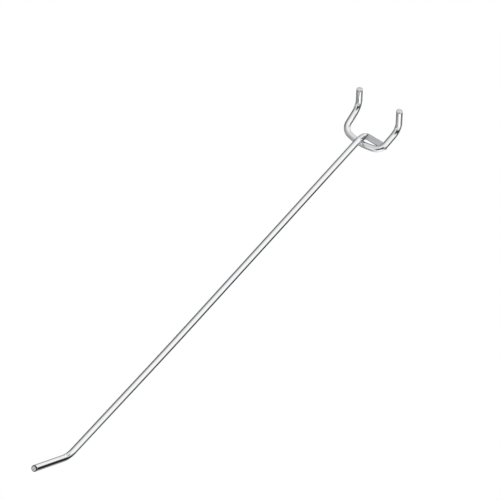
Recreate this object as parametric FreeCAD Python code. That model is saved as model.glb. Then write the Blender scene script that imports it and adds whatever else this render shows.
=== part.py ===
import FreeCAD, Part
import math
import os

from FreeCAD import Vector

os.makedirs("parts", exist_ok=True)

# Sizes in millimetres, angles in degrees. Bend radii are to the middle of the wire, and lengths
# between bends are to the corners where the straight runs would meet.

# The board that the hook hangs on
hole_pitch = 25.4
board_thickness = 6.35

# The wire that both pieces are bent from
wire_diameter = 3.3
end_round = 0.15

# Prong wire: a U with a bowed crossbar, whose legs slope up through the board and turn up behind it
crossbar_width = 23.1
crossbar_bow = 13.5
crossbar_bow_radius = 30.0
leg_bend_radius = 5.7
leg_slope = 13.1
board_clearance = 1.6
kink_radius = 7.3
prong_slope = 79.0
left_prong_length = 12.4
right_prong_length = 13.7

# Arm wire: upturned tip, arm with a slight upward sweep in front, dip over the crossbar, and a tail
# that turns off to the right
tip_length = 28.5
tip_slope = 40.3
tip_bend_radius = 12.0
arm_length = 230.0
sweep_length = 80.0
sweep_slope = 1.4
sweep_radius = 1500.0
dip_lead = 1.9
dip_bend_radius = 6.0
dip_angle = 34.7
dip_run = 3.35
tail_bend_radius = 2.1

# The weld: how deep the arm is sunk into the crossbar, and the flat that is pressed on the tail, which
# starts beside the middle of the arm
weld_sink = 0.2
press_depth = 1.0
press_start = 1.2

wire_radius = wire_diameter / 2
right = Vector(1, 0, 0)


def rearward(slope):
    """Unit vector that points towards the board, sloping up by the angle."""
    return Vector(0, math.cos(math.radians(slope)), math.sin(math.radians(slope)))


def forward(slope):
    """Unit vector that points away from the board, sloping up by the angle."""
    return rearward(180 - slope)


def mirrored(point):
    """The same point on the left side."""
    return Vector(-point.x, point.y, point.z)


def rounded_path(corners, radii):
    """Straight runs from corner to corner, joined by tangent arcs of the given radii."""
    edges = []
    run_start = corners[0]
    for before, corner, after, radius in zip(corners, corners[1:], corners[2:], radii):
        back = (before - corner).normalize()
        onward = (after - corner).normalize()
        half_angle = back.getAngle(onward) / 2
        tangent_length = radius / math.tan(half_angle)
        arc_start = corner + back * tangent_length
        arc_end = corner + onward * tangent_length
        inward = (back + onward).normalize()
        arc_middle = corner + inward * (radius / math.sin(half_angle) - radius)
        edges.append(Part.LineSegment(run_start, arc_start).toShape())
        edges.append(Part.Arc(arc_start, arc_middle, arc_end).toShape())
        run_start = arc_end
    edges.append(Part.LineSegment(run_start, corners[-1]).toShape())
    return Part.Wire(edges)


def bent_wire(corners, radii):
    """Round wire along a rounded path."""
    path = rounded_path(corners, radii)
    section = Part.Wire(Part.makeCircle(wire_radius, corners[0], corners[1] - corners[0]))
    solid = path.makePipeShell([section], True, False)
    expected = math.pi * wire_radius ** 2 * path.Length
    print("wire length", round(path.Length, 2), "volume", round(solid.Volume, 2), "expected", round(expected, 2))
    return solid


def round_end(solid, end_point):
    """Break the sharp edge of the cut end at the given point."""
    edges = []
    for face in solid.Faces:
        if isinstance(face.Surface, Part.Plane) and face.CenterOfMass.isEqual(end_point, wire_radius):
            edges.extend(face.Edges)
    return solid.makeFillet(end_round, edges)


# Both wires are laid out around the middle of the line between the two crossbar corners. The U lies in a
# plane that slopes with the legs, and the middle of its crossbar, the crown, is bowed forward.
leg_direction = rearward(leg_slope)
half_width = crossbar_width / 2
bow = math.radians(crossbar_bow)
crown_corner = leg_direction * (-half_width * math.tan(bow))
crown = crown_corner + leg_direction * (crossbar_bow_radius / math.cos(bow) - crossbar_bow_radius)

# The arm wire dips over the crown, sunk into it by the weld, and turns off behind it into the tail
dip_direction = rearward(leg_slope - dip_angle)
dip_upward = rearward(leg_slope - dip_angle + 90)
crossing = crown + dip_upward * (wire_diameter - weld_sink)
dip_corner = crossing - dip_direction * dip_lead
tail_corner = crossing + dip_direction * dip_run

# The back of the tail lies against the board, and the prongs stand clear behind it
board_front = tail_corner.y + wire_radius
kink_depth = board_front + board_thickness + board_clearance + wire_radius
hole_height = (board_front + board_thickness / 2) * math.tan(math.radians(leg_slope))

# Corners of the prong wire on the right side, which the left side mirrors, and its two cut ends
leg_corner = right * half_width
kink_corner = right * (hole_pitch / 2) + leg_direction * (kink_depth / leg_direction.y)
right_prong_end = kink_corner + rearward(prong_slope) * right_prong_length
left_prong_end = mirrored(kink_corner) + rearward(prong_slope) * left_prong_length

# Corners of the arm wire. The tail ends inside the right bend of the prong wire, where the weld closes on it.
sweep_corner = Vector(0, sweep_length - arm_length, dip_corner.z)
tip_corner = sweep_corner + forward(sweep_slope) * sweep_length
tip_end = tip_corner + forward(tip_slope) * tip_length
tail_end = tail_corner + leg_corner


def make_prong_wire():
    left_side = [left_prong_end, mirrored(kink_corner), mirrored(leg_corner)]
    right_side = [leg_corner, kink_corner, right_prong_end]
    radii = [kink_radius, leg_bend_radius, crossbar_bow_radius, leg_bend_radius, kink_radius]
    solid = bent_wire(left_side + [crown_corner] + right_side, radii)
    solid = round_end(solid, left_prong_end)
    return round_end(solid, right_prong_end)


def press_tool():
    """Block that leaves the flat on the tail's upper side, from the arm's side to the tail's end."""
    tool = Part.makeBox(half_width - press_start, 2 * wire_diameter, wire_diameter)
    tool.translate(Vector(press_start, -wire_diameter, wire_radius - press_depth))
    tool.rotate(Vector(0, 0, 0), right, leg_slope)
    tool.translate(tail_corner)
    return tool


def make_arm_wire(prong_wire):
    corners = [tip_end, tip_corner, sweep_corner, dip_corner, tail_corner, tail_end]
    solid = bent_wire(corners, [tip_bend_radius, sweep_radius, dip_bend_radius, tail_bend_radius])
    solid = round_end(solid, tip_end)
    solid = solid.cut(press_tool())
    solid = solid.cut(prong_wire)
    return max(solid.Solids, key=lambda piece: piece.Volume)


prong_wire = make_prong_wire()
arm_wire = make_arm_wire(prong_wire)

# The origin is on the front of the board, midway between the centres of the two holes
for name, shape in (("prong_wire", prong_wire), ("arm_wire", arm_wire)):
    shape.translate(Vector(0, -board_front, -hole_height))
    print(name, "solids", len(shape.Solids), "valid", shape.isValid(), "volume", round(shape.Volume, 2))
    shape.exportStep(f"parts/{name}.step")
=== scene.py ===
import math
import random
from collections import namedtuple

import bmesh
import bpy
from mathutils import Matrix, Vector, kdtree, noise


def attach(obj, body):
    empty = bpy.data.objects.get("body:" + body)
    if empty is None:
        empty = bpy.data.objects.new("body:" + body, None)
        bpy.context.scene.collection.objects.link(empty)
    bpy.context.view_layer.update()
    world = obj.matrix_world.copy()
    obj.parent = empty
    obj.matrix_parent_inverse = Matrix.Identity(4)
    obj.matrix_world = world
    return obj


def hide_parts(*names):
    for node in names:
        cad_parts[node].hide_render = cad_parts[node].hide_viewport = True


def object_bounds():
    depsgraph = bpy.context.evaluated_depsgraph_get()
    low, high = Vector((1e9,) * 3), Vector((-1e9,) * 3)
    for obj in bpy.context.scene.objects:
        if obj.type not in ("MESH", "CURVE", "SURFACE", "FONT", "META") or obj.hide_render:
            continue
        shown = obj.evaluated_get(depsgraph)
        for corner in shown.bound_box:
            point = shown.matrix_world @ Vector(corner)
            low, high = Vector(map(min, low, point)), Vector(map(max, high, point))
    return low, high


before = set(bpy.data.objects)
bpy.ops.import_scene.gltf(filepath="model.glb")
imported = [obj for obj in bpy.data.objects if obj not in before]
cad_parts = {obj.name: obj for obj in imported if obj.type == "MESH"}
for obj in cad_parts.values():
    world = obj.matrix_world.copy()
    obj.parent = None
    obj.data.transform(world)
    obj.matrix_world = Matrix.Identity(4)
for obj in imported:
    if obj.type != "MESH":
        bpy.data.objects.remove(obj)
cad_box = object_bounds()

scene = bpy.context.scene
scene.view_settings.view_transform = "Standard"

# The hook's sizes are in millimetres and degrees, as the solids have them. Its meshes are scaled to
# metres when they are made.
metres = 0.001

# The board that the hook hangs on, and the wire that both pieces are bent from
hole_pitch = 25.4
board_thickness = 6.35
wire_diameter = 3.3

# Prong wire: a U with a bowed crossbar, whose legs slope up through the board and turn up behind it
crossbar_width = 23.1
crossbar_bow = 13.5
crossbar_bow_radius = 30.0
leg_bend_radius = 5.7
leg_slope = 13.1
board_clearance = 1.6
kink_radius = 7.3
prong_slope = 79.0
left_prong_length = 12.4
right_prong_length = 13.7

# Arm wire: upturned tip, arm with a slight upward sweep in front, dip over the crossbar, and tail
tip_length = 28.5
tip_slope = 40.3
tip_bend_radius = 12.0
arm_length = 230.0
sweep_length = 80.0
sweep_slope = 1.4
sweep_radius = 1500.0
dip_lead = 1.9
dip_bend_radius = 6.0
dip_angle = 34.7
dip_run = 3.35
tail_bend_radius = 2.1

# How deep the arm is sunk into the crossbar, and the flat that is pressed on the tail
weld_sink = 0.2
press_depth = 1.0
press_start = 1.2

# Fineness of the wire meshes, and how far they lie inside the solids
ring_sides = 72
run_step = 0.8
bend_step = math.radians(2.0)
fewest_bend_steps = 3
skin_inset = 0.006
sharp_angle = 30

# Dullness of the pressed flat, the painted shade on the step beside the arm, and how a face is known to
# lie on them
press_dull = 0.24
step_painted_shade = 0.6
press_tolerance = 0.01
press_facing = 0.9

# Rounded rim of the cut ends, the length of wire behind it that is darkened at half the rim's value
# (smeared metal, and on the tip painted shade), and the rings of the face
end_round = 0.3
rim_smear_and_shade = 0.25
rim_steps = 6
face_shares = (0.02, 0.25, 0.5, 0.7, 0.88)
grain_scale = 2.6
patch_scale = 1.1

# Sheared ends: the side that the face leans to, how deep it leans, how deep its grain is, how strong
# its patches are, how dull the face is, and how dark the rim is, as dull metal and on the tip as
# painted shade
CutEnd = namedtuple("CutEnd", "lean tilt grain patches face_dull rim_dull seed")
# The tip's rim is darkened fully to the dark colour and the band behind it to half: painted shade at
# the tip's end.
tip_cut = CutEnd(
    lean=Vector((-0.15, 0.88, -0.45)),
    tilt=0.16,
    grain=0.05,
    patches=0.0,
    face_dull=0.19,
    rim_dull=1.0,
    seed=8,
)
left_prong_cut = CutEnd(
    lean=Vector((-0.3, -0.95, 0.0)),
    tilt=0.2,
    grain=0.09,
    patches=1.4,
    face_dull=0.1,
    rim_dull=0.25,
    seed=3,
)
right_prong_cut = CutEnd(
    lean=Vector((0.8, 0.6, 0.0)),
    tilt=0.45,
    grain=0.09,
    patches=1.4,
    face_dull=0.12,
    rim_dull=0.22,
    seed=4,
)

# Weld flash: beads around the spot where the wires cross, with the ranges that they vary in
flash_count = 15
flash_reach = 1.25
flash_radius = 0.32
flash_stray = 0.3
flash_sizes = (0.85, 1.3)

# Beads along the end of the tail, and the step in which each is moved up to the right bend
seam_count = 9
seam_radius = 0.2
seam_share = 0.8
seam_step = 0.05
seam_sizes = (0.7, 1.3)

# Nub on the right bend, a short row of beads
nub_count = 3
nub_radius = 0.6
nub_height = 0.32
nub_slope = 30.0
nub_offset = Vector((0, 2.7, 0))
nub_spacing = 0.5
nub_sizes = (0.85, 1)

# How the beads melt together
weld_seed = 5
bead_subdivisions = 3
melt_grain = 0.06
melt_ease = 0.5
melt_rounds = 6

wire_radius = wire_diameter / 2
skin_radius = wire_radius - skin_inset
press_height = wire_radius - press_depth
right = Vector((1, 0, 0))


def rearward(slope):
    """Unit vector that points towards the board, sloping up by the angle."""
    return Vector((0, math.cos(math.radians(slope)), math.sin(math.radians(slope))))


def forward(slope):
    """Unit vector that points away from the board, sloping up by the angle."""
    return rearward(180 - slope)


def mirrored(point):
    """The same point on the left side."""
    return Vector((-point.x, point.y, point.z))


# Both wires are laid out around the middle of the line between the two crossbar corners. The U lies in
# a plane that slopes with the legs, and the middle of its crossbar, the crown, is bowed forward.
leg_direction = rearward(leg_slope)
leg_upward = rearward(leg_slope + 90)
half_width = crossbar_width / 2
bow = math.radians(crossbar_bow)
bow_rise = crossbar_bow_radius / math.cos(bow) - crossbar_bow_radius
crown_corner = leg_direction * (-half_width * math.tan(bow))
crown = crown_corner + leg_direction * bow_rise

# The arm wire dips over the crown, sunk into it by the weld, and turns off behind it into the tail
dip_direction = rearward(leg_slope - dip_angle)
dip_upward = rearward(leg_slope - dip_angle + 90)
crossing = crown + dip_upward * (wire_diameter - weld_sink)
dip_corner = crossing - dip_direction * dip_lead
tail_corner = crossing + dip_direction * dip_run

# The back of the tail lies against the board, and the prongs stand clear behind it
board_front = tail_corner.y + wire_radius
kink_depth = board_front + board_thickness + board_clearance + wire_radius
hole_height = (board_front + board_thickness / 2) * math.tan(math.radians(leg_slope))

# Corners of the prong wire on the right side, which the left side mirrors, and its two cut ends
leg_corner = right * half_width
kink_corner = right * (hole_pitch / 2) + leg_direction * (kink_depth / leg_direction.y)
right_prong_end = kink_corner + rearward(prong_slope) * right_prong_length
left_prong_end = mirrored(kink_corner) + rearward(prong_slope) * left_prong_length

# Corners of the arm wire. The tail ends inside the right bend of the prong wire.
sweep_corner = Vector((0, sweep_length - arm_length, dip_corner.z))
tip_corner = sweep_corner + forward(sweep_slope) * sweep_length
tip_end = tip_corner + forward(tip_slope) * tip_length
tail_end = tail_corner + leg_corner

# From the layout to the frame: the origin is on the board's front, midway between the holes' centres
row_shift = Vector((0, -board_front, -hole_height))


def add_mesh(name, points, faces):
    """Mesh object of points in metres."""
    mesh = bpy.data.meshes.new(name)
    mesh.from_pydata(points, [], faces)
    mesh.validate()
    made = bpy.data.objects.new(name, mesh)
    scene.collection.objects.link(made)
    return made


def add_layout_mesh(name, points, faces):
    """Mesh object of points in the layout's millimetres."""
    return add_mesh(name, [(point + row_shift) * metres for point in points], faces)


def apply_modifiers(piece):
    """Give the piece the mesh that its modifiers make."""
    bpy.context.view_layer.update()
    evaluated = piece.evaluated_get(bpy.context.evaluated_depsgraph_get())
    before = piece.data
    piece.data = bpy.data.meshes.new_from_object(evaluated)
    piece.modifiers.clear()
    bpy.data.meshes.remove(before)


# Wire meshes

def rounded_path(corners, radii):
    """Points along straight runs that tangent arcs join, each with the wire's direction there."""
    path = [(corners[0], (corners[1] - corners[0]).normalized())]
    for before, corner, after, radius in zip(corners, corners[1:], corners[2:], radii):
        back = (before - corner).normalized()
        onward = (after - corner).normalized()
        half_angle = back.angle(onward) / 2
        arc_start = corner + back * (radius / math.tan(half_angle))
        centre = corner + (back + onward).normalized() * (radius / math.sin(half_angle))
        axis = onward.cross(back).normalized()
        turn = math.pi - 2 * half_angle
        add_run(path, arc_start, -back)
        turn_steps = math.ceil(turn / bend_step)
        length_steps = math.ceil(turn * radius / run_step)
        steps = max(fewest_bend_steps, turn_steps, length_steps)
        for step in range(1, steps + 1):
            rotation = Matrix.Rotation(turn * step / steps, 3, axis)
            path.append((centre + rotation @ (arc_start - centre), -(rotation @ back)))
    add_run(path, corners[-1], (corners[-1] - corners[-2]).normalized())
    return path


def add_run(path, end, direction):
    """Add a straight run from the last point of the path to the end."""
    start = path[-1][0]
    steps = max(1, math.ceil((end - start).length / run_step))
    for step in range(1, steps + 1):
        path.append((start.lerp(end, step / steps), direction))


def ring_frames(path):
    """Two directions across the wire at each point of the path, turned with it and not twisted."""
    frames = []
    across = path[0][1].orthogonal().normalized()
    last = path[0][1]
    for point, direction in path:
        across = last.rotation_difference(direction) @ across
        across = (across - direction * across.dot(direction)).normalized()
        frames.append((across, direction.cross(across)))
        last = direction
    return frames


class WireMesh:
    """Rings of points along a path, with the place on the drawn wire kept at every point."""

    def __init__(self, path):
        self.path = path
        self.frames = ring_frames(path)
        self.points = []
        self.drawn = []
        self.dull = []
        self.faces = []
        self.last_ring = None

    def ring(self, index, radius, shift, length, dent=None, dull=0):
        """One ring around a path point, joined to the ring before it."""
        point, direction = self.path[index]
        first, second = self.frames[index]
        start = len(self.points)
        for side in range(ring_sides):
            angle = 2 * math.pi * side / ring_sides
            offset = (first * math.cos(angle) + second * math.sin(angle)) * radius
            depth, patch = dent(offset) if dent else (0, 1)
            self.points.append(point + offset + direction * (shift + depth))
            self.drawn.append((math.cos(angle), math.sin(angle), length))
            self.dull.append(dull * patch)
        if self.last_ring is not None:
            self.join(self.last_ring, start)
        self.last_ring = start

    def join(self, before, start):
        """Faces between two rings, which start at the given points."""
        for side in range(ring_sides):
            after = (side + 1) % ring_sides
            self.faces.append((before + side, before + after, start + after, start + side))

    def cap(self, start, flip):
        """Close the ring that starts at the given point."""
        ring = [start + side for side in range(ring_sides)]
        self.faces.append(tuple(ring if flip else reversed(ring)))


def cut_surface(cut, sign):
    """Uneven face of a sheared end: how far each place lies behind the solid's end, and its patches."""
    def dent(offset):
        tilt = (1 + offset.dot(cut.lean) / wire_radius) / 2
        grain = (noise.noise(offset * grain_scale + Vector((cut.seed, 0, 0))) + 1) / 2
        cloud = noise.noise(offset * patch_scale + Vector((0, cut.seed, 0)))
        patch = max(0, 1 + cut.patches * cloud)
        return sign * (cut.tilt * tilt * tilt + cut.grain * grain), patch

    return dent


def cut_end(wire, index, length, cut, first):
    """Rounded rim and grained face of a cut end, from the face's middle outward or back to it."""
    sign = 1 if first else -1
    dent = cut_surface(cut, sign)
    rings = []
    for share in face_shares:
        rings.append(((skin_radius - end_round) * share, 0, cut.face_dull))
    for step in range(rim_steps + 1):
        turn = math.pi / 2 * step / rim_steps
        reach = skin_radius - end_round * (1 - math.sin(turn))
        rings.append((reach, end_round * (1 - math.cos(turn)), cut.rim_dull))
    # Band behind the rim, darkened to half the rim's value: painted shade on the tip, dull smeared
    # metal on the prongs.
    rings.append((skin_radius, end_round + rim_smear_and_shade, cut.rim_dull / 2))
    if not first:
        rings.reverse()
    for radius, depth, dull in rings:
        wire.ring(index, radius, sign * depth, length, dent, dull)


def wire_mesh(path, first_cut, last_cut):
    """Rings of one bent wire, whose ends are cut as given or left plain."""
    wire = WireMesh(path)
    last = len(path) - 1
    length = 0
    if first_cut:
        cut_end(wire, 0, length, first_cut, True)
    for index in range(len(path)):
        if index:
            length += (path[index][0] - path[index - 1][0]).length
        if (index == 0 and first_cut) or (index == last and last_cut):
            continue
        wire.ring(index, skin_radius, 0, length)
    if last_cut:
        cut_end(wire, last, length, last_cut, False)
    wire.cap(0, False)
    wire.cap(wire.last_ring, True)
    return wire


def press_block():
    """Block that leaves the flat on the tail's upper side, from the arm to the tail's end."""
    corners = []
    for along in (press_start, half_width):
        for near in (-wire_diameter, wire_diameter):
            for rise in (press_height, wire_diameter):
                foot = tail_corner + right * along + leg_direction * near
                corners.append(foot + leg_upward * rise)
    faces = [(0, 1, 3, 2), (4, 6, 7, 5), (0, 4, 5, 1), (2, 3, 7, 6), (0, 2, 6, 4), (1, 5, 7, 3)]
    return add_layout_mesh("press_block", corners, faces)


def cut_away(piece, block):
    """Take the block's volume out of the piece."""
    cut = piece.modifiers.new("cut", "BOOLEAN")
    cut.operation = "DIFFERENCE"
    cut.solver = "EXACT"
    cut.object = block
    apply_modifiers(piece)
    block_mesh = block.data
    bpy.data.objects.remove(block)
    bpy.data.meshes.remove(block_mesh)


def press_dull_and_step_shade(centre, normal):
    """How dull the press has made a face of the arm wire on the flat, or how dark the step beside it is
    painted as shade.
    """
    offset = centre - tail_corner
    rise = offset.dot(leg_upward) - press_height
    beside = offset.x - press_start
    if beside < -press_tolerance or abs(offset.dot(leg_direction)) > wire_diameter:
        return 0
    if abs(rise) < press_tolerance and normal.dot(leg_upward) > press_facing:
        return press_dull
    # The step's wall beside the arm is darkened: painted shade.
    if rise > 0 and abs(beside) < press_tolerance and normal.x > press_facing:
        return step_painted_shade
    return 0


def dress(piece, wire, material, node):
    """Give a wire its marks, dullness and painted shade, and its material, and let it stand for the
    given node.
    """
    tree = kdtree.KDTree(len(wire.points))
    for index, point in enumerate(wire.points):
        tree.insert(point, index)
    tree.balance()
    mesh = piece.data
    nearest = [tree.find(vertex.co / metres - row_shift)[1] for vertex in mesh.vertices]
    drawn = []
    for index in nearest:
        drawn.extend(wire.drawn[index])
    # Dullness of cut ends and the pressed flat, together with the painted shade on the step beside the
    # arm and on the tip's rim.
    dull = []
    for face in mesh.polygons:
        own = [wire.dull[nearest[index]] for index in face.vertices]
        mark = press_dull_and_step_shade(face.center / metres - row_shift, face.normal)
        dull.append(max(mark, sum(own) / len(own)))
    mesh.attributes.new("drawn", "FLOAT_VECTOR", "POINT").data.foreach_set("vector", drawn)
    mesh.attributes.new("dull", "FLOAT", "FACE").data.foreach_set("value", dull)
    mesh.shade_smooth()
    mesh.set_sharp_from_angle(angle=math.radians(sharp_angle))
    mesh.materials.clear()
    mesh.materials.append(material)
    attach(piece, "root")
    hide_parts(node)


def add_prong_wire(material):
    """The U with its two prongs. Gives back the wire's path."""
    left_side = [left_prong_end, mirrored(kink_corner), mirrored(leg_corner)]
    right_side = [leg_corner, kink_corner, right_prong_end]
    radii = [kink_radius, leg_bend_radius, crossbar_bow_radius, leg_bend_radius, kink_radius]
    path = rounded_path(left_side + [crown_corner] + right_side, radii)
    wire = wire_mesh(path, left_prong_cut, right_prong_cut)
    piece = add_layout_mesh("prong_wire_skin", wire.points, wire.faces)
    dress(piece, wire, material, "prong_wire")
    return path


def add_arm_wire(material):
    """The arm with its tip and its pressed tail."""
    corners = [tip_end, tip_corner, sweep_corner, dip_corner, tail_corner, tail_end]
    radii = [tip_bend_radius, sweep_radius, dip_bend_radius, tail_bend_radius]
    wire = wire_mesh(rounded_path(corners, radii), tip_cut, None)
    piece = add_layout_mesh("arm_wire_skin", wire.points, wire.faces)
    cut_away(piece, press_block())
    dress(piece, wire, material, "arm_wire")


# Weld

def contact_beads(dice):
    """Beads squeezed out around the spot where the arm lies on the crown."""
    beads = []
    contact = (crown + crossing) / 2
    for step in range(flash_count):
        turn = 2 * math.pi * (step + dice.uniform(-flash_stray, flash_stray)) / flash_count
        aside = flash_reach * math.cos(turn)
        along = flash_reach * math.sin(turn)
        # Midway between the arm's underside, which rises to its sides, and the crossbar's top, which
        # falls off in front and behind
        height = (aside * aside - along * along) / (4 * wire_radius)
        place = contact + right * aside + dip_direction * along + dip_upward * height
        beads.append((place, flash_radius * dice.uniform(*flash_sizes)))
    return beads


def seam_beads(dice, prong_points):
    """Beads along the seam where the tail's flat ends against the right bend."""
    beads = []
    for step in range(seam_count):
        near = wire_radius * (2 * (step + 0.5) / seam_count - 1) * seam_share
        place = tail_corner + leg_direction * near + leg_upward * press_height
        while min((place - point).length for point in prong_points) > wire_radius + seam_step:
            place = place + right * seam_step
        beads.append((place, seam_radius * dice.uniform(*seam_sizes)))
    return beads


def nub_beads(dice, prong_points):
    """Small nub on the outer side of the right bend, where the tail's weld has pushed through."""
    slope = math.radians(nub_slope)
    outward = right * math.cos(slope) - leg_upward * math.sin(slope)
    foot = min(prong_points, key=lambda point: (point - leg_corner - nub_offset).length)
    middle = foot + outward * (wire_radius - nub_radius + nub_height)
    beads = []
    for step in range(nub_count):
        place = middle + leg_direction * nub_radius * nub_spacing * (step - nub_count // 2)
        beads.append((place, nub_radius * dice.uniform(*nub_sizes)))
    return beads


def add_weld(material, prong_path):
    """All beads of the weld, melted into one rough skin."""
    dice = random.Random(weld_seed)
    prong_points = [point for point, direction in prong_path]
    beads = contact_beads(dice) + seam_beads(dice, prong_points) + nub_beads(dice, prong_points)
    work = bmesh.new()
    for place, radius in beads:
        bmesh.ops.create_icosphere(
            work,
            subdivisions=bead_subdivisions,
            radius=radius * metres,
            matrix=Matrix.Translation((place + row_shift) * metres),
        )
    mesh = bpy.data.meshes.new("weld_flash")
    work.to_mesh(mesh)
    work.free()
    piece = bpy.data.objects.new("weld_flash", mesh)
    scene.collection.objects.link(piece)
    melt = piece.modifiers.new("melt", "REMESH")
    melt.mode = "VOXEL"
    melt.voxel_size = melt_grain * metres
    ease = piece.modifiers.new("ease", "SMOOTH")
    ease.factor = melt_ease
    ease.iterations = melt_rounds
    apply_modifiers(piece)
    piece.data.shade_smooth()
    piece.data.materials.append(material)
    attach(piece, "root")


# Materials. Bump distance is in metres, and noise scales are per metre except for the marks, which are
# laid out around the wire and along its millimetres.

bump_distance = 0.0001

wire_dark = (0.74, 0.75, 0.765, 1)
wire_bright = (0.86, 0.865, 0.87, 1)
# Dark colour of dull metal, also used for the painted shade on the step beside the arm and on the tip's
# rim.
wire_dull_and_shade = (0.12, 0.122, 0.13, 1)
wire_edge = (0.12, 0.12, 0.13, 1)
mark_stretch = (1.0, 1.0, 0.03)
mark_scale = 9.0
mark_detail = 4.0
mark_depth = 0.12
cloud_scale = 260.0
cloud_detail = 3.0
cloud_values = (0.3, 0.7)
wire_roughness = (0.05, 0.11)
dull_roughness = 2.2

weld_dark = (0.34, 0.345, 0.355, 1)
weld_bright = (0.74, 0.745, 0.76, 1)
pit_scale = 2600.0
pit_detail = 4.0
pit_depth = 0.35
pit_values = (0.0, 1.0)
weld_roughness = (0.18, 0.40)

floor_colour = (0.9, 0.9, 0.9, 1)


def node_material(name):
    """Material with an empty node tree."""
    material = bpy.data.materials.new(name)
    material.use_nodes = True
    material.node_tree.nodes.clear()
    return material, material.node_tree.nodes, material.node_tree.links


def metal_shader(nodes, links):
    """Metal as the material's surface."""
    output = nodes.new("ShaderNodeOutputMaterial")
    shader = nodes.new("ShaderNodeBsdfPrincipled")
    shader.inputs["Metallic"].default_value = 1.0
    links.new(shader.outputs["BSDF"], output.inputs["Surface"])
    return shader


def blended_surface(nodes, links, share, first, second):
    """Two shaders as the material's surface, of which the second has the given share."""
    output = nodes.new("ShaderNodeOutputMaterial")
    mix = nodes.new("ShaderNodeMixShader")
    links.new(share, mix.inputs["Fac"])
    links.new(first.outputs[0], mix.inputs[1])
    links.new(second.outputs[0], mix.inputs[2])
    links.new(mix.outputs[0], output.inputs["Surface"])


def attribute(nodes, name):
    """Node that reads a value kept on the mesh."""
    reader = nodes.new("ShaderNodeAttribute")
    reader.attribute_name = name
    return reader


def noise_value(nodes, links, place, scale, detail):
    """Noise over the given place."""
    texture = nodes.new("ShaderNodeTexNoise")
    texture.inputs["Scale"].default_value = scale
    texture.inputs["Detail"].default_value = detail
    links.new(place, texture.inputs["Vector"])
    return texture.outputs["Fac"]


def colour_mix(nodes, links, share, first, second):
    """Node that goes from the first colour to the second."""
    mix = nodes.new("ShaderNodeMix")
    mix.data_type = "RGBA"
    mix.inputs["A"].default_value = first
    mix.inputs["B"].default_value = second
    links.new(share, mix.inputs["Factor"])
    return mix


def ranged(nodes, links, value, values, results):
    """The value, taken from one range to another."""
    remap = nodes.new("ShaderNodeMapRange")
    remap.inputs["From Min"].default_value = values[0]
    remap.inputs["From Max"].default_value = values[1]
    remap.inputs["To Min"].default_value = results[0]
    remap.inputs["To Max"].default_value = results[1]
    links.new(value, remap.inputs["Value"])
    return remap.outputs["Result"]


def add_bump(nodes, links, height, strength, shader):
    """Fine relief on the shader's surface."""
    bump = nodes.new("ShaderNodeBump")
    bump.inputs["Strength"].default_value = strength
    bump.inputs["Distance"].default_value = bump_distance
    links.new(height, bump.inputs["Height"])
    links.new(bump.outputs["Normal"], shader.inputs["Normal"])


def plated_weld():
    """Plating over the weld: the same metal, greyer and pitted."""
    material, nodes, links = node_material("plated_weld")
    shader = metal_shader(nodes, links)
    coordinates = nodes.new("ShaderNodeTexCoord")
    pits = noise_value(nodes, links, coordinates.outputs["Object"], pit_scale, pit_detail)
    tint = colour_mix(nodes, links, pits, weld_dark, weld_bright)
    links.new(tint.outputs["Result"], shader.inputs["Base Color"])
    roughness = ranged(nodes, links, pits, pit_values, weld_roughness)
    links.new(roughness, shader.inputs["Roughness"])
    add_bump(nodes, links, pits, pit_depth, shader)
    return material


def plated_wire():
    """Bright plating over drawn wire: fine marks along the wire, faint clouds in its gloss."""
    material, nodes, links = node_material("plated_wire")
    shader = metal_shader(nodes, links)
    shader.inputs["Specular Tint"].default_value = wire_edge

    drawn = attribute(nodes, "drawn")
    stretch = nodes.new("ShaderNodeMapping")
    stretch.inputs["Scale"].default_value = mark_stretch
    links.new(drawn.outputs["Vector"], stretch.inputs["Vector"])
    marks = noise_value(nodes, links, stretch.outputs["Vector"], mark_scale, mark_detail)
    add_bump(nodes, links, marks, mark_depth, shader)

    # Darkens the colour towards the dark tint: dull metal, and painted shade on the step beside the arm
    # and on the tip's rim.
    dull = attribute(nodes, "dull")
    tint = colour_mix(nodes, links, marks, wire_dark, wire_bright)
    dulled_and_shaded = colour_mix(nodes, links, dull.outputs["Fac"], wire_bright, wire_dull_and_shade)
    links.new(tint.outputs["Result"], dulled_and_shaded.inputs["A"])
    links.new(dulled_and_shaded.outputs["Result"], shader.inputs["Base Color"])

    coordinates = nodes.new("ShaderNodeTexCoord")
    clouds = noise_value(nodes, links, coordinates.outputs["Object"], cloud_scale, cloud_detail)
    gloss = ranged(nodes, links, clouds, cloud_values, wire_roughness)
    roughness = nodes.new("ShaderNodeMath")
    roughness.operation = "MULTIPLY_ADD"
    roughness.inputs[1].default_value = dull_roughness
    links.new(dull.outputs["Fac"], roughness.inputs[0])
    links.new(gloss, roughness.inputs[2])
    links.new(roughness.outputs[0], shader.inputs["Roughness"])
    return material


def white_floor():
    """Pale floor that the camera and the metal see as white."""
    material, nodes, links = node_material("white_floor")
    path = nodes.new("ShaderNodeLightPath")
    seen = path.outputs["Is Camera Ray"]
    for ray in ("Is Glossy Ray", "Is Transmission Ray"):
        either = nodes.new("ShaderNodeMath")
        either.operation = "MAXIMUM"
        links.new(seen, either.inputs[0])
        links.new(path.outputs[ray], either.inputs[1])
        seen = either.outputs[0]
    matt = nodes.new("ShaderNodeBsdfDiffuse")
    matt.inputs["Color"].default_value = floor_colour
    white = nodes.new("ShaderNodeEmission")
    blended_surface(nodes, links, seen, matt, white)
    return material


def card_material(name, brightness):
    """Even card with feathered edges that the metal mirrors."""
    material, nodes, links = node_material(name)
    cover = attribute(nodes, "cover")
    clear = nodes.new("ShaderNodeBsdfTransparent")
    glow = nodes.new("ShaderNodeEmission")
    glow.inputs["Color"].default_value = (brightness, brightness, brightness, 1)
    blended_surface(nodes, links, cover.outputs["Fac"], clear, glow)
    return material


# Camera, in metres and degrees. Its azimuth turns from the hook's front towards the right.

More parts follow.
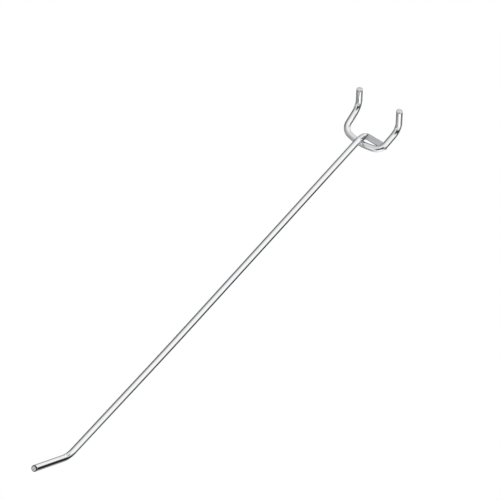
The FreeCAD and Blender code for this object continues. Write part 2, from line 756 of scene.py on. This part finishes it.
camera_azimuth = 48.355
camera_elevation = 55.893
camera_roll = 11.314
camera_distance = 2.4641
camera_target = Vector((-0.0028, -0.09005, 0.00289))
camera_lens = 359.03
camera_reach = 30.0


def add_camera():
    """Camera at the photo's viewing angle."""
    azimuth = math.radians(camera_azimuth)
    elevation = math.radians(camera_elevation)
    level = math.cos(elevation)
    back = Vector((math.sin(azimuth) * level, -math.cos(azimuth) * level, math.sin(elevation)))
    data = bpy.data.cameras.new("camera")
    data.lens = camera_lens
    data.clip_end = camera_reach
    camera = bpy.data.objects.new("camera", data)
    scene.collection.objects.link(camera)
    camera.rotation_mode = "QUATERNION"
    turn = (-back).to_track_quat("-Z", "Y").to_matrix()
    roll = Matrix.Rotation(math.radians(-camera_roll), 3, "Z")
    camera.rotation_quaternion = (turn @ roll).to_quaternion()
    camera.location = camera_target + back * camera_distance
    scene.camera = camera


# Stage, in metres and degrees

floor_drop = 0.90
floor_size = 16
floor_height = cad_box[0].z - floor_drop
backdrop_radius = 6.0
backdrop_height = 0.6
backdrop_sides = 64

# Cards stand around the middle of the hook, and one close around the prongs
stage_centre = Vector((0, -0.12, 0))
card_distance = 0.90
prong_centre = Vector((0, 0.012, 0.012))
prong_card_distance = 0.12
card_columns = 40
card_rows = 30

# Room light: azimuth and elevation of the bright side, the middle level, and the change to either side
bright_side = (60, 42)
room_level = 0.62
room_change = 0.56


def toward(azimuth, elevation):
    """Unit vector: azimuth turns from the board side towards the right."""
    level = math.cos(math.radians(elevation))
    return Vector((
        math.sin(math.radians(azimuth)) * level,
        math.cos(math.radians(azimuth)) * level,
        math.sin(math.radians(elevation)),
    ))


def smooth(share):
    """Soft step from 0 to 1."""
    share = min(1, max(0, share))
    return share * share * (3 - 2 * share)


def add_floor(material):
    """Wide floor far below the hook."""
    bpy.ops.mesh.primitive_plane_add(size=floor_size, location=(0, 0, floor_height))
    floor = bpy.context.object
    floor.name = "floor"
    floor.data.materials.append(material)


def add_backdrop(material):
    """Low round wall on the floor, which closes the view towards the horizon."""
    points = []
    faces = []
    for step in range(backdrop_sides):
        angle = 2 * math.pi * step / backdrop_sides
        foot = Vector((math.cos(angle), math.sin(angle), 0)) * backdrop_radius
        points.append(foot + Vector((0, 0, floor_height)))
        points.append(foot + Vector((0, 0, backdrop_height)))
        after = (step + 1) % backdrop_sides
        faces.append((2 * step, 2 * after, 2 * after + 1, 2 * step + 1))
    backdrop = add_mesh("backdrop", points, faces)
    backdrop.data.materials.append(material)


def add_card(name, brightness, azimuths, elevations, side_fades, end_fades, rise=0,
             centre=stage_centre, distance=card_distance):
    """Curved card around the centre that only the metal sees.

    Its sides, and its lower and upper end, fade over the given angles. A rise makes the card climb by
    that many degrees for each degree of azimuth.
    """
    points = []
    covers = []
    for row in range(card_rows + 1):
        for column in range(card_columns + 1):
            azimuth = azimuths[0] + (azimuths[1] - azimuths[0]) * column / card_columns
            elevation = elevations[0] + (elevations[1] - elevations[0]) * row / card_rows
            climb = rise * (azimuth - azimuths[0])
            points.append(centre + toward(azimuth, elevation + climb) * distance)
            cover = smooth((azimuth - azimuths[0]) / side_fades[0])
            cover = cover * smooth((azimuths[1] - azimuth) / side_fades[1])
            cover = cover * smooth((elevation - elevations[0]) / end_fades[0])
            covers.append(cover * smooth((elevations[1] - elevation) / end_fades[1]))
    faces = []
    above = card_columns + 1
    for row in range(card_rows):
        for column in range(card_columns):
            corner = row * above + column
            faces.append((corner, corner + 1, corner + above + 1, corner + above))
    card = add_mesh(name, points, faces)
    card.data.attributes.new("cover", "FLOAT", "POINT").data.foreach_set("value", covers)
    card.data.materials.append(card_material(name, brightness))
    card.visible_camera = False
    card.visible_diffuse = False
    card.visible_shadow = False


def add_area(name, azimuth, elevation, distance, size, energy):
    """Large soft lamp that points at the hook."""
    data = bpy.data.lights.new(name, "AREA")
    data.size = size
    data.energy = energy
    light = bpy.data.objects.new(name, data)
    light.location = stage_centre + toward(azimuth, elevation) * distance
    light.rotation_mode = "QUATERNION"
    light.rotation_quaternion = (-toward(azimuth, elevation)).to_track_quat("-Z", "Y")
    light.visible_glossy = False
    scene.collection.objects.link(light)


def add_world():
    """Soft room light, brightest on the upper right and falling off evenly to the left."""
    world = bpy.data.worlds.new("studio")
    scene.world = world
    world.use_nodes = True
    nodes = world.node_tree.nodes
    links = world.node_tree.links
    coordinates = nodes.new("ShaderNodeTexCoord")
    side = nodes.new("ShaderNodeVectorMath")
    side.operation = "DOT_PRODUCT"
    side.inputs[1].default_value = toward(*bright_side)
    links.new(coordinates.outputs["Generated"], side.inputs[0])
    level = nodes.new("ShaderNodeMath")
    level.operation = "MULTIPLY_ADD"
    level.inputs[1].default_value = room_change
    level.inputs[2].default_value = room_level
    links.new(side.outputs["Value"], level.inputs[0])
    links.new(level.outputs[0], nodes["Background"].inputs["Color"])


def add_cards():
    """What the metal mirrors besides the room: dark, grey and white cards."""
    add_card("dark_right", 0.02, azimuths=(20, 98), elevations=(-77, 9),
             side_fades=(22, 32), end_fades=(20, 30))
    add_card("dark_front", 0.04, azimuths=(72, 160), elevations=(-57, -19),
             side_fades=(14, 14), end_fades=(12, 12), rise=1.0)
    add_card("dark_horizon", 0.05, azimuths=(104, 172), elevations=(2, 62),
             side_fades=(12, 10), end_fades=(10, 16))
    add_card("dark_spot", 0.02, azimuths=(18, 45), elevations=(3, 35),
             side_fades=(10, 10), end_fades=(11, 11))
    add_card("white_low", 1.5, azimuths=(92, 152), elevations=(-76, -26),
             side_fades=(14, 16), end_fades=(12, 12))
    add_card("grey_left", 0.20, azimuths=(-108, -45), elevations=(-70, 58),
             side_fades=(24, 20), end_fades=(14, 36))
    add_card("grey_front", 0.36, azimuths=(-202, -84), elevations=(-70, 7),
             side_fades=(40, 24), end_fades=(14, 18))
    add_card("white_back", 1.25, azimuths=(-30, 30), elevations=(-14, 14),
             side_fades=(10, 10), end_fades=(8, 8))
    add_card("grey_prongs", 0.34, azimuths=(6, 94), elevations=(-72, -41),
             side_fades=(12, 14), end_fades=(8, 7),
             centre=prong_centre, distance=prong_card_distance)
    add_card("white_front", 1.1, azimuths=(-184, -149), elevations=(-4, 52),
             side_fades=(8, 10), end_fades=(10, 10))


add_camera()
add_world()
pale = white_floor()
add_floor(pale)
add_backdrop(pale)
add_area("key", azimuth=60, elevation=60, distance=1.6, size=1.2, energy=6.0)
add_cards()

metal = plated_wire()
prong_path = add_prong_wire(metal)
add_arm_wire(metal)
add_weld(plated_weld(), prong_path)
